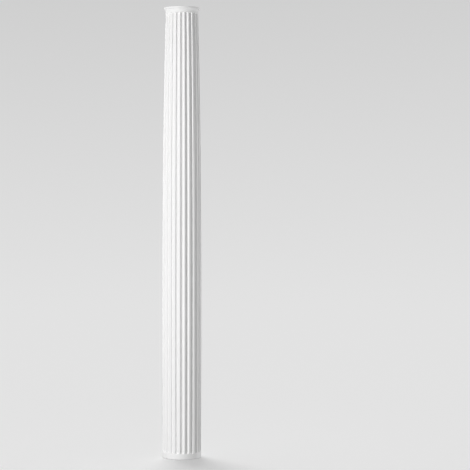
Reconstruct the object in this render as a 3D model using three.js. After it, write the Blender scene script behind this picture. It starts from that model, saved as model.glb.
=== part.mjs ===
// A fluted column shaft: one moulded piece, with entasis, a plain foot band, a
// plain neck and a small flared rim at the head.
// Millimetres, +Z up. The origin is the centre of the underside.

import * as THREE from 'three';

// ---------- driving dimensions ----------

const TOTAL_HEIGHT = 2400;        // underside to head face
const FOOT_RADIUS = 103.8;        // shaft radius at the underside
const BELLY_RADIUS = 105.8;       // largest radius of the shaft
const BELLY_HEIGHT = 700;         // where the largest radius lies
const NECK_RADIUS = 87.5;         // shaft radius where the flutes stop at the head
const ENTASIS_POWER = 2.5;        // how late the upper part draws in

const FOOT_BAND = 29;             // plain height under the flutes
const HEAD_BAND = 31;             // plain height over the flutes, rim included
const FLARE_HEIGHT = 14;          // concave sweep from the neck to the rim
const RIM_RADIUS = 95.5;          // largest radius at the head
const RIM_HEIGHT = 10;            // upright lip of the rim
const EDGE_ROUND = 2;             // broken edge at the underside and at the head

const FLUTE_COUNT = 24;
const FLUTE_WIDTH = 16;           // the same from foot to head, while the ribs narrow with the shaft
const FLUTE_DEPTH = 5.2;          // under the flute's shoulders
const CROWN_RISE = 1.5;           // of a rib's crown over its shoulders
const CROWN_FADE = 9;             // height in which the crown runs out into a plain band
const FLUTE_TURN = 2.9;           // degrees from the front (-Y) to the nearest flute's middle

const SHAFT_STEPS = 9;            // lengthwise steps between the flute ends
const FLARE_STEPS = 3;            // steps of the concave sweep

// ---------- sizes that follow ----------

const FLUTE_LOW = FOOT_BAND;                     // lowest point of a flute
const FLUTE_HIGH = TOTAL_HEIGHT - HEAD_BAND;     // highest point of a flute

const FLUTE_END = FLUTE_WIDTH / 2;               // radius of a flute's round ends
const pitchAt = (radius) => (2 * Math.PI * radius) / FLUTE_COUNT;

// Radius of the shaft over its ribs.
function shaftRadius(z) {
  if (z <= BELLY_HEIGHT) {
    const t = (BELLY_HEIGHT - z) / BELLY_HEIGHT;
    return BELLY_RADIUS - (BELLY_RADIUS - FOOT_RADIUS) * t * t;
  }
  const t = (z - BELLY_HEIGHT) / (FLUTE_HIGH - BELLY_HEIGHT);
  return BELLY_RADIUS - (BELLY_RADIUS - NECK_RADIUS) * Math.pow(t, ENTASIS_POWER);
}

// Half a flute's width as a share of the pitch at a height.
const halfShareAt = (z) => FLUTE_WIDTH / 2 / pitchAt(shaftRadius(Math.min(z, FLUTE_HIGH)));

// Places across one pitch, from the middle of a flute, in halves of its width:
// the flute's floor, two points up its wall and its shoulder. RIB_CROWN is the
// middle of the rib.
const RIB_CROWN = Infinity;
const PLACES = [0, 0.5, 0.866, 1, RIB_CROWN];

// Depth of the surface under the ribs' crowns. past is how far the ring lies
// beyond the centre of the flute's round end, over half the flute's width.
function sunk(place, past, crownLeft) {
  if (place === RIB_CROWN) return 0;
  const rho = Math.hypot(place, past);
  const bowl = rho < 1 - 1e-6 ? FLUTE_DEPTH * Math.sqrt(1 - rho * rho) : 0;
  return bowl + CROWN_RISE * crownLeft;
}

// ---------- rings, from the underside to the head ----------
// Each ring: height, radius over the crowns, place past a flute's end centre
// (Infinity on a plain ring) and how much of the crown's camber is there.

const rings = [];
const plain = (z, r) => rings.push({ z, r, past: Infinity, crown: 0 });

plain(0, shaftRadius(0) - EDGE_ROUND);
plain(EDGE_ROUND, shaftRadius(EDGE_ROUND));

const END_STEPS = [1, 0.866, 0.5, 0];
const crownAt = (d) => Math.min(1, d / CROWN_FADE) ** 2 * (3 - 2 * Math.min(1, d / CROWN_FADE));
const straightLow = FLUTE_LOW + FLUTE_END;
const straightHigh = FLUTE_HIGH - FLUTE_END;
for (const past of END_STEPS) {
  const z = straightLow - past * FLUTE_END;
  rings.push({ z, r: shaftRadius(z), past, crown: crownAt(z - FLUTE_LOW) });
}
for (let i = 1; i < SHAFT_STEPS; i++) {
  const z = straightLow + ((straightHigh - straightLow) * i) / SHAFT_STEPS;
  rings.push({ z, r: shaftRadius(z), past: 0, crown: 1 });
}
for (const past of [...END_STEPS].reverse()) {
  const z = straightHigh + past * FLUTE_END;
  rings.push({ z, r: shaftRadius(z), past, crown: crownAt(FLUTE_HIGH - z) });
}

// Concave sweep: a quarter of an ellipse that leaves the neck upright.
const flareLow = TOTAL_HEIGHT - RIM_HEIGHT - FLARE_HEIGHT;
for (let i = 0; i <= FLARE_STEPS; i++) {
  const a = (i / FLARE_STEPS) * (Math.PI / 2) * 0.85;
  const reach = (1 - Math.cos(a)) / (1 - Math.cos((Math.PI / 2) * 0.85));
  const rise = Math.sin(a) / Math.sin((Math.PI / 2) * 0.85);
  plain(flareLow + FLARE_HEIGHT * rise, NECK_RADIUS + (RIM_RADIUS - NECK_RADIUS) * reach);
}
plain(TOTAL_HEIGHT - EDGE_ROUND, RIM_RADIUS);
plain(TOTAL_HEIGHT, RIM_RADIUS - EDGE_ROUND);

// ---------- columns, once round ----------

const columns = [];
for (let k = 0; k < FLUTE_COUNT; k++) {
  for (let j = PLACES.length - 2; j >= 1; j--) columns.push({ k, side: -1, place: PLACES[j] });
  for (let j = 0; j < PLACES.length; j++) columns.push({ k, side: 1, place: PLACES[j] });
}
const COLS = columns.length;
const PITCH_ANGLE = (2 * Math.PI) / FLUTE_COUNT;
const FRONT = -Math.PI / 2 + (FLUTE_TURN * Math.PI) / 180;

const vertices = [];
for (const ring of rings) {
  const half = halfShareAt(ring.z);
  for (const col of columns) {
    const share = col.side * (col.place === RIB_CROWN ? 0.5 : col.place * half);
    const angle = FRONT + (col.k + share) * PITCH_ANGLE;
    const r = Number.isFinite(ring.past) ? ring.r - sunk(col.place, ring.past, ring.crown) : ring.r;
    vertices.push(r * Math.cos(angle), r * Math.sin(angle), ring.z);
  }
}
const footCentre = vertices.length / 3;
vertices.push(0, 0, 0);
const headCentre = vertices.length / 3;
vertices.push(0, 0, TOTAL_HEIGHT);

const triangles = [];
const at = (ring, col) => ring * COLS + ((col + COLS) % COLS);
for (let i = 0; i + 1 < rings.length; i++) {
  // At a flute's round end each quad is split along the end's outline.
  const upperHalf = rings[i].z > TOTAL_HEIGHT / 2;
  for (let j = 0; j < COLS; j++) {
    const a = at(i, j), b = at(i, j + 1), c = at(i + 1, j + 1), d = at(i + 1, j);
    const rightOfFlute = columns[j].side > 0 && columns[j].place !== RIB_CROWN;
    if (rightOfFlute === upperHalf) triangles.push(a, b, d, b, c, d);
    else triangles.push(a, b, c, a, c, d);
  }
}
for (let j = 0; j < COLS; j++) {
  triangles.push(footCentre, at(0, j + 1), at(0, j));
  triangles.push(headCentre, at(rings.length - 1, j), at(rings.length - 1, j + 1));
}

const shaftGeometry = new THREE.BufferGeometry();
shaftGeometry.setAttribute('position', new THREE.Float32BufferAttribute(vertices, 3));
shaftGeometry.setIndex(triangles);
shaftGeometry.computeVertexNormals();

const mouldedWhite = new THREE.MeshStandardMaterial({ color: 0xf0f0ef, roughness: 0.65, metalness: 0 });

const shaft = new THREE.Mesh(shaftGeometry, mouldedWhite);
shaft.name = 'column_shaft';

const column = new THREE.Group();
column.add(shaft);

export default column;
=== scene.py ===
import math

import bpy
import numpy as np
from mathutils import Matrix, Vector


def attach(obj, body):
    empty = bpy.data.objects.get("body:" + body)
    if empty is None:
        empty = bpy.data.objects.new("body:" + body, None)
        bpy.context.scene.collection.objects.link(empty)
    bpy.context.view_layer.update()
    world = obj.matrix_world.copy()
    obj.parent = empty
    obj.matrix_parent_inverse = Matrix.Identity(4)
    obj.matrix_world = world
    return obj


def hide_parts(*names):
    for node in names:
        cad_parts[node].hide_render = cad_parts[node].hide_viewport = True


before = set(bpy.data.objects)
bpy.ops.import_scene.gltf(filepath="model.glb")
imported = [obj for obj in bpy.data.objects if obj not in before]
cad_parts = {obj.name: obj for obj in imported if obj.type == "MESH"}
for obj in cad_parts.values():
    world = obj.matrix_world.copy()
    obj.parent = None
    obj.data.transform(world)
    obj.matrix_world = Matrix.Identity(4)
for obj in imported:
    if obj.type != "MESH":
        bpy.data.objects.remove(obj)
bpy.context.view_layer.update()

# ------------------------------------------------------------------ sizes, in metres
# The same named sizes as the CAD shaft, so the fine mesh fills the same box.
TOTAL_HEIGHT = 2.400
FOOT_RADIUS = 0.1038
BELLY_RADIUS = 0.1058
BELLY_HEIGHT = 0.700
NECK_RADIUS = 0.0875
ENTASIS_POWER = 2.5
FOOT_BAND = 0.029
HEAD_BAND = 0.031
FLARE_HEIGHT = 0.014
RIM_RADIUS = 0.0955
RIM_HEIGHT = 0.010
EDGE_ROUND = 0.002
FLUTE_COUNT = 24
FLUTE_WIDTH = 0.016          # one width and depth from foot to head, while the ribs narrow with the shaft
FLUTE_DEPTH = 0.0052
CROWN_RISE = 0.0015
CROWN_FADE = 0.009
FLUTE_TURN = math.radians(2.9)
SHOULDER_ROUND = 0.0016      # how softly a flute's edge turns onto the rib
FINE_INSET = 0.0001          # keeps the rounded ribs inside the CAD shaft's flat facets

FLUTE_LOW = FOOT_BAND
FLUTE_HIGH = TOTAL_HEIGHT - HEAD_BAND


def shaft_radius(z):
    z = np.asarray(z, float)
    low = BELLY_RADIUS - (BELLY_RADIUS - FOOT_RADIUS) * ((BELLY_HEIGHT - z) / BELLY_HEIGHT) ** 2
    t = np.clip((z - BELLY_HEIGHT) / (FLUTE_HIGH - BELLY_HEIGHT), 0, None)
    high = BELLY_RADIUS - (BELLY_RADIUS - NECK_RADIUS) * t ** ENTASIS_POWER
    return np.where(z <= BELLY_HEIGHT, low, high)


def pitch_at(r):
    return 2 * math.pi * r / FLUTE_COUNT


# ------------------------------------------------------------------ the shaft's surface
def half_share(z):
    """Half a flute's width over the pitch at a height."""
    return FLUTE_WIDTH / 2 / pitch_at(float(shaft_radius(min(z, FLUTE_HIGH))))


def column_shares(half):
    """Places across one pitch, from a flute's middle: close together on its walls and shoulders."""
    turn = np.radians(np.arange(0, 90, 7.5))
    bowl = half * np.sin(turn)
    edge = half + np.array([0.0, 0.012, 0.026, 0.042, 0.062, 0.088])
    crown = np.linspace(edge[-1], 0.5, 5)[1:]
    side = np.concatenate([bowl, edge, crown])
    return np.concatenate([-side[1:-1][::-1], side])


def sunk(share, half_of_pitch, past, crown_left):
    """Depth in metres under the ribs' crowns. The flute is an ellipse's bowl with a quarter-sphere end, and its
    edge turns softly onto the cambered rib: the depth is where the smooth greater of the two surfaces is zero."""
    side = np.abs(share)
    half = FLUTE_WIDTH / 2
    deep = FLUTE_DEPTH
    w = (0.5 - side) / (0.5 - half_of_pitch)
    crown = CROWN_RISE * np.minimum(w, 1.35) ** 2 * crown_left
    shoulder = CROWN_RISE * crown_left
    rho = np.hypot(side / half_of_pitch, past)
    low, high = np.zeros_like(rho) - 0.001, np.zeros_like(rho) + deep + shoulder + 0.004
    soft = SHOULDER_ROUND
    for _ in range(34):
        mid = (low + high) / 2
        over = crown - mid
        q = np.hypot(rho, np.maximum(mid - shoulder, 0) / deep)
        in_bowl = (1 - q) * half * 0.9
        gap = np.maximum(soft - np.abs(over - in_bowl), 0) / soft
        both = np.maximum(over, in_bowl) + gap * gap * soft / 4
        outside = both > 0
        low = np.where(outside, mid, low)
        high = np.where(outside, high, mid)
    return np.maximum((low + high) / 2, 0)


def build_rings():
    """(height, radius over the crowns, place past a flute's end or None, share of the camber) from the underside up."""
    rings = []
    foot = float(shaft_radius(EDGE_ROUND))
    for a in np.radians([0, 22.5, 45, 67.5, 90]):
        rings.append((EDGE_ROUND * (1 - math.cos(a)), foot - EDGE_ROUND * (1 - math.sin(a)), None, 0.0))
    for z in (0.006, 0.012, FLUTE_LOW - 0.005):
        rings.append((z, float(shaft_radius(z)), None, 0.0))

    end_radius = FLUTE_WIDTH / 2
    straight_low, straight_high = FLUTE_LOW + end_radius, FLUTE_HIGH - end_radius

    def camber(d):
        t = min(1.0, max(0.0, d / CROWN_FADE))
        return t * t * (3 - 2 * t)

    ends = [1.55, 1.36, 1.22, 1.12, 1.05] + [math.sin(math.radians(a)) for a in (90, 80, 71, 63, 55, 48, 41, 34, 27, 20, 13, 6, 0)]
    for past in ends:
        z = straight_low - past * end_radius
        rings.append((z, float(shaft_radius(z)), past, camber(z - FLUTE_LOW + 0.002)))
    for d in (0.004, 0.010, 0.022, 0.045):
        z = straight_low + d
        rings.append((z, float(shaft_radius(z)), 0.0, camber(z - FLUTE_LOW + 0.002)))
    steps = 22
    for i in range(1, steps):
        z = straight_low + 0.045 + (straight_high - straight_low - 0.09) * i / steps
        rings.append((z, float(shaft_radius(z)), 0.0, 1.0))
    for d in (0.045, 0.022, 0.010, 0.004):
        z = straight_high - d
        rings.append((z, float(shaft_radius(z)), 0.0, camber(FLUTE_HIGH - z + 0.002)))
    for past in reversed(ends):
        z = straight_high + past * end_radius
        rings.append((z, float(min(shaft_radius(z), NECK_RADIUS + 0.0001)), past, camber(FLUTE_HIGH - z + 0.002)))

    flare_low = TOTAL_HEIGHT - RIM_HEIGHT - FLARE_HEIGHT
    sweep = math.radians(76.5)
    last = rings[-1][0]
    if flare_low - last > 0.001:
        rings.append(((flare_low + last) / 2, NECK_RADIUS, None, 0.0))
    for i in range(0, 11):
        a = sweep * i / 10
        reach = (1 - math.cos(a)) / (1 - math.cos(sweep))
        rise = math.sin(a) / math.sin(sweep)
        rings.append((flare_low + FLARE_HEIGHT * rise, NECK_RADIUS + (RIM_RADIUS - 0.0006 - NECK_RADIUS) * reach, None, 0.0))
    soft = 0.0006
    for a in np.radians([30, 60, 90]):
        rings.append((flare_low + FLARE_HEIGHT + soft * math.sin(a), RIM_RADIUS - soft * (1 - math.sin(a)), None, 0.0))
    rings.append((TOTAL_HEIGHT - RIM_HEIGHT / 2, RIM_RADIUS, None, 0.0))
    for a in np.radians([0, 22.5, 45, 67.5, 90]):
        rings.append((TOTAL_HEIGHT - EDGE_ROUND * (1 - math.sin(a)), RIM_RADIUS - EDGE_ROUND * (1 - math.cos(a)), None, 0.0))
    return rings


def build_shaft():
    rings = build_rings()
    n = len(column_shares(half_share(0.0)))
    cols = n * FLUTE_COUNT
    index = np.repeat(np.arange(FLUTE_COUNT), n)

    def around(z):
        """The columns' cosines, sines and shares at a height."""
        one = column_shares(half_share(z))
        angle = -math.pi / 2 + FLUTE_TURN + (index + np.tile(one, FLUTE_COUNT)) * 2 * math.pi / FLUTE_COUNT
        return np.cos(angle), np.sin(angle), one

    points, shade = [], []
    for z, r, past, left in rings:
        c, s, one = around(z)
        if past is None:
            d = np.zeros(n)
        else:
            d = sunk(one, half_share(z), np.full(n, past), left)
        d = np.tile(d, FLUTE_COUNT)
        d = d + FINE_INSET
        points.append(np.column_stack([(r - d) * c, (r - d) * s, np.full(cols, z)]))
        # Mask for the painted shade: 0 on the ribs, up to 1 in the flutes' deepest parts.
        shade.append(np.clip(d / 0.0075, 0, 1))
    for z, radii in ((0.0, (0.085, 0.045)), (TOTAL_HEIGHT, (0.078, 0.040))):
        c, s, one = around(z)
        for r in radii:
            points.append(np.column_stack([r * c, r * s, np.full(cols, z)]))
            shade.append(np.zeros(cols))
    count = len(rings)
    foot_rows = [0, count, count + 1]
    head_rows = [count - 1, count + 2, count + 3]
    verts = np.vstack(points)
    verts = np.vstack([verts, [[0, 0, 0], [0, 0, TOTAL_HEIGHT]]])
    shade = np.concatenate(shade + [np.zeros(2)])
    foot_mid, head_mid = len(verts) - 2, len(verts) - 1

    quads, tris = [], []
    j = np.arange(cols)
    k = (j + 1) % cols
    for i in range(count - 1):
        quads.append(np.column_stack([i * cols + j, i * cols + k, (i + 1) * cols + k, (i + 1) * cols + j]))
    for a, b in zip(foot_rows, foot_rows[1:]):
        quads.append(np.column_stack([a * cols + j, b * cols + j, b * cols + k, a * cols + k]))
    for a, b in zip(head_rows, head_rows[1:]):
        quads.append(np.column_stack([a * cols + j, a * cols + k, b * cols + k, b * cols + j]))
    tris.append(np.column_stack([foot_rows[-1] * cols + k, foot_rows[-1] * cols + j, np.full(cols, foot_mid)]))
    tris.append(np.column_stack([head_rows[-1] * cols + j, head_rows[-1] * cols + k, np.full(cols, head_mid)]))
    faces = [f.tolist() for f in np.vstack(quads)] + [f.tolist() for f in np.vstack(tris)]

    mesh = bpy.data.meshes.new("column_shaft_fine")
    mesh.from_pydata(verts.tolist(), [], faces)
    mesh.validate()
    mesh.update()
    attribute = mesh.attributes.new("flute_depth", "FLOAT", "POINT")
    attribute.data.foreach_set("value", shade.astype(np.float32))
    ob = bpy.data.objects.new("column_shaft_fine", mesh)
    bpy.context.scene.collection.objects.link(ob)
    mesh.polygons.foreach_set("use_smooth", [True] * len(mesh.polygons))
    # The two end faces stay crisp against their broken edges.
    edge_sharp = mesh.attributes.new("sharp_edge", "BOOLEAN", "EDGE")
    flags = np.zeros(len(mesh.edges), bool)
    ends = np.zeros(len(mesh.edges) * 2, np.int32)
    mesh.edges.foreach_get("vertices", ends)
    ends = ends.reshape(-1, 2)
    for row in (0, count - 1):
        flags |= ((ends // cols) == row).all(1) & (ends < count * cols).all(1)
    edge_sharp.data.foreach_set("value", flags)
    return ob


# ------------------------------------------------------------------ material
def moulded_white():
    m = bpy.data.materials.new("moulded_white")
    m.use_nodes = True
    nt = m.node_tree
    nt.nodes.clear()
    N = nt.nodes.new
    L = nt.links.new
    out = N("ShaderNodeOutputMaterial")
    p = N("ShaderNodeBsdfPrincipled")
    L(p.outputs["BSDF"], out.inputs["Surface"])
    p.inputs["Metallic"].default_value = 0.0
    p.inputs["Specular IOR Level"].default_value = 0.32
    coords = N("ShaderNodeTexCoord")

    def noise(scale, detail, rough, stretch=(1, 1, 1)):
        mapping = N("ShaderNodeMapping")
        mapping.inputs["Scale"].default_value = stretch
        L(coords.outputs["Object"], mapping.inputs["Vector"])
        t = N("ShaderNodeTexNoise")
        t.inputs["Scale"].default_value = scale
        t.inputs["Detail"].default_value = detail
        t.inputs["Roughness"].default_value = rough
        L(mapping.outputs["Vector"], t.inputs["Vector"])
        return t.outputs["Fac"]

    def ramp(value, stops):
        r = N("ShaderNodeMapRange")
        r.inputs["From Min"].default_value, r.inputs["From Max"].default_value = stops[0]
        r.inputs["To Min"].default_value, r.inputs["To Max"].default_value = stops[1]
        r.clamp = True
        L(value, r.inputs["Value"])
        return r.outputs["Result"]

    def mix(kind, a, b, factor):
        x = N("ShaderNodeMix")
        x.data_type = "RGBA"
        x.blend_type = kind
        if isinstance(factor, float):
            x.inputs["Factor"].default_value = factor
        else:
            L(factor, x.inputs["Factor"])
        for sock, v in ((x.inputs[6], a), (x.inputs[7], b)):
            if isinstance(v, tuple):
                sock.default_value = v
            else:
                L(v, sock)
        return x.outputs[2]

    # Primer: broad soft clouds, then long thin streaks along the shaft, then fine specks of the moulded skin.
    clouds = ramp(noise(3.2, 3, 0.5, (1, 1, 0.35)), ((0.3, 0.7), (0.0, 1.0)))
    streaks = ramp(noise(26, 4, 0.55, (1, 1, 0.06)), ((0.35, 0.65), (0.0, 1.0)))
    specks = ramp(noise(520, 2, 0.6), ((0.62, 0.78), (0.0, 1.0)))
    colour = mix("MIX", (0.858, 0.858, 0.856, 1), (0.888, 0.888, 0.887, 1), clouds)
    colour = mix("MIX", colour, (0.868, 0.868, 0.866, 1), ramp(streaks, ((0, 1), (0.0, 0.45))))
    colour = mix("MULTIPLY", colour, (0.952, 0.952, 0.949, 1), ramp(specks, ((0, 1), (0.0, 0.5))))
    # Painted shade: the base colour is darkened a little in the deep parts of the flutes, following the flute_depth
    # attribute.
    depth = N("ShaderNodeAttribute")
    depth.attribute_name = "flute_depth"
    painted_flute_shade = ramp(depth.outputs["Fac"], ((0.25, 1.0), (0.0, 0.6)))
    colour = mix("MULTIPLY", colour, (0.983, 0.983, 0.981, 1), painted_flute_shade)
    L(colour, p.inputs["Base Color"])

    gloss = ramp(noise(48, 4, 0.6), ((0.3, 0.7), (0.56, 0.70)))
    L(gloss, p.inputs["Roughness"])

    grain = noise(760, 3, 0.55)
    peel = noise(120, 2, 0.5, (1, 1, 0.6))
    b1 = N("ShaderNodeBump")
    b1.inputs["Strength"].default_value = 0.20
    b1.inputs["Distance"].default_value = 0.0006
    L(grain, b1.inputs["Height"])
    b2 = N("ShaderNodeBump")
    b2.inputs["Strength"].default_value = 0.035
    b2.inputs["Distance"].default_value = 0.0012
    L(peel, b2.inputs["Height"])
    L(b1.outputs["Normal"], b2.inputs["Normal"])
    L(b2.outputs["Normal"], p.inputs["Normal"])
    return m


shaft = build_shaft()
shaft.data.materials.append(moulded_white())
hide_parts("column_shaft")
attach(shaft, "root")


# ------------------------------------------------------------------ floor and backdrop: one seamless pale bowl
def build_sweep():
    """A wide level floor that turns up very gently far behind, so that no horizon shows from any side."""
    flat, bend, spokes = 12.0, 70.0, 96
    line = [(4.0, 0.0), (flat, 0.0)]
    for a in np.radians(np.arange(3, 76, 3)):
        line.append((flat + bend * math.sin(a), bend * (1 - math.cos(a))))
    verts, faces = [(0.0, 0.0, 0.0)], []
    for r, z in line:
        for i in range(spokes):
            a = 2 * math.pi * i / spokes
            verts.append((r * math.cos(a), r * math.sin(a), z))
    for i in range(spokes):
        faces.append((0, 1 + i, 1 + (i + 1) % spokes))
    for k in range(len(line) - 1):
        for i in range(spokes):
            a, b = 1 + k * spokes + i, 1 + k * spokes + (i + 1) % spokes
            faces.append((a, a + spokes, b + spokes, b))
    mesh = bpy.data.meshes.new("studio_sweep")
    mesh.from_pydata(verts, [], faces)
    mesh.update()
    mesh.polygons.foreach_set("use_smooth", [True] * len(mesh.polygons))
    ob = bpy.data.objects.new("studio_sweep", mesh)
    bpy.context.scene.collection.objects.link(ob)
    m = bpy.data.materials.new("studio_paper")
    m.use_nodes = True
    p = m.node_tree.nodes["Principled BSDF"]
    p.inputs["Base Color"].default_value = (0.90, 0.90, 0.90, 1)
    p.inputs["Roughness"].default_value = 1.0
    p.inputs["Specular IOR Level"].default_value = 0.0
    p.inputs["Emission Color"].default_value = (1.0, 1.0, 1.0, 1)
    p.inputs["Emission Strength"].default_value = PAPER_GLOW
    mesh.materials.append(m)
    # The paper is seen and takes the contact shadow, but it neither blocks the lamps nor fills the flutes with light.
    ob.visible_diffuse = False
    ob.visible_glossy = False
    ob.visible_shadow = False
    return ob


PAPER_GLOW = 0.05
sweep = build_sweep()

# ------------------------------------------------------------------ camera
PX = TOTAL_HEIGHT / 449.3            # metres to a pixel of the 470 px frame, at the shaft's axis
CAM_DISTANCE_PX = 1700.0
CAM_HEIGHT = (457.75 - 190.0) * PX
CAM_ROLL = 0.07                      # degrees; the photographed shaft leans by a third of a pixel
camera_data = bpy.data.cameras.new("camera")
camera = bpy.data.objects.new("camera", camera_data)
bpy.context.scene.collection.objects.link(camera)
side = (235.0 - 181.85) * PX
distance = CAM_DISTANCE_PX * PX
camera.location = (side, -distance, CAM_HEIGHT)
aim = Vector((side, 0.0, (457.75 - 235.0) * PX))
camera.rotation_euler = (aim - camera.location).to_track_quat("-Z", "Y").to_euler()
camera.rotation_euler.rotate_axis("Z", math.radians(CAM_ROLL))
camera_data.sensor_width = 36.0
camera_data.lens = CAM_DISTANCE_PX / 470.0 * 36.0
camera_data.clip_end = 400.0
bpy.context.scene.camera = camera


# ------------------------------------------------------------------ soft studio light
def lit_only(lamp, group_name, *objects):
    """Keeps a lamp to the objects named: the column has its lamps and the paper has its own."""
    group = bpy.data.collections.new(group_name)
    for ob in objects:
        group.objects.link(ob)
    lamp.light_linking.receiver_collection = group
    lamp.visible_camera = False


def softbox(name, azimuth, strength, width, height, z, *lit):
    """An upright softbox that faces the shaft, with its middle at height z. The azimuth counts from the camera's
    side, plus to the right, in degrees; a strength of 1 lights a white face turned to it fully."""
    data = bpy.data.lights.new(name, "AREA")
    data.shape = "RECTANGLE"
    data.size = width
    data.size_y = height
    data.energy = strength * (math.pi * SOFTBOX_REACH) ** 2
    ob = bpy.data.objects.new(name, data)
    bpy.context.scene.collection.objects.link(ob)
    a = math.radians(azimuth)
    ob.location = (SOFTBOX_REACH * math.sin(a), -SOFTBOX_REACH * math.cos(a), z)
    ob.rotation_euler = (Vector((0, 0, z)) - ob.location).to_track_quat("-Z", "Y").to_euler()
    lit_only(ob, name + "_lights", *lit)
    return ob


def head_lamp(name, strength, across, above, *lit):
    """A small round lamp straight over the head. It is narrower than the shaft, so it lights the head's face alone."""
    data = bpy.data.lights.new(name, "AREA")
    data.shape = "DISK"
    data.size = across
    data.energy = strength * (math.pi * above) ** 2
    ob = bpy.data.objects.new(name, data)
    bpy.context.scene.collection.objects.link(ob)
    ob.location = (0, 0, TOTAL_HEIGHT + above)
    lit_only(ob, name + "_lights", *lit)
    return ob


def paper_lamp(name, azimuth, elevation, spread, strength, *lit):
    """A far soft lamp for the paper, which takes the shaft's contact shadow from it."""
    data = bpy.data.lights.new(name, "SUN")
    data.angle = math.radians(spread)
    data.energy = strength
    ob = bpy.data.objects.new(name, data)
    bpy.context.scene.collection.objects.link(ob)
    a, e = math.radians(azimuth), math.radians(elevation)
    towards = Vector((math.sin(a) * math.cos(e), -math.cos(a) * math.cos(e), math.sin(e)))
    ob.rotation_euler = (-towards).to_track_quat("-Z", "Y").to_euler()
    ob.location = towards * 6.0
    lit_only(ob, name + "_lights", *lit)
    return ob


SOFTBOX_REACH = 5.0
softbox("key", -43.5, 0.74, 0.8, 1.6, 1.50, shaft)
softbox("fill_front", 30, 0.15, 1.6, 2.4, 1.35, shaft)
softbox("fill_right", 111, 0.41, 1.3, 2.4, 0.90, shaft)
softbox("rim_left", -135, 0.20, 1.6, 2.4, 1.45, shaft)
softbox("key_back", 180, 0.42, 0.8, 1.6, 1.35, shaft)
head_lamp("over_head", 0.45, 0.17, 0.6, shaft)
paper_lamp("paper_top", 0, 90, 50, 0.80, sweep)
paper_lamp("paper_side", -163, 50, 34, 1.10, sweep)

# The room's even light, which also fills the flutes.
room = bpy.data.worlds.new("studio_room")
room.use_nodes = True
room.node_tree.nodes["Background"].inputs["Color"].default_value = (1.0, 1.0, 1.0, 1)
room.node_tree.nodes["Background"].inputs["Strength"].default_value = 0.27
room.cycles.sampling_method = "NONE"
bpy.context.scene.world = room

scene = bpy.context.scene
scene.view_settings.view_transform = "Standard"
scene.view_settings.look = "None"
scene.view_settings.exposure = 0.0
scene.cycles.filter_width = 1.1      # the photograph's edges are crisp
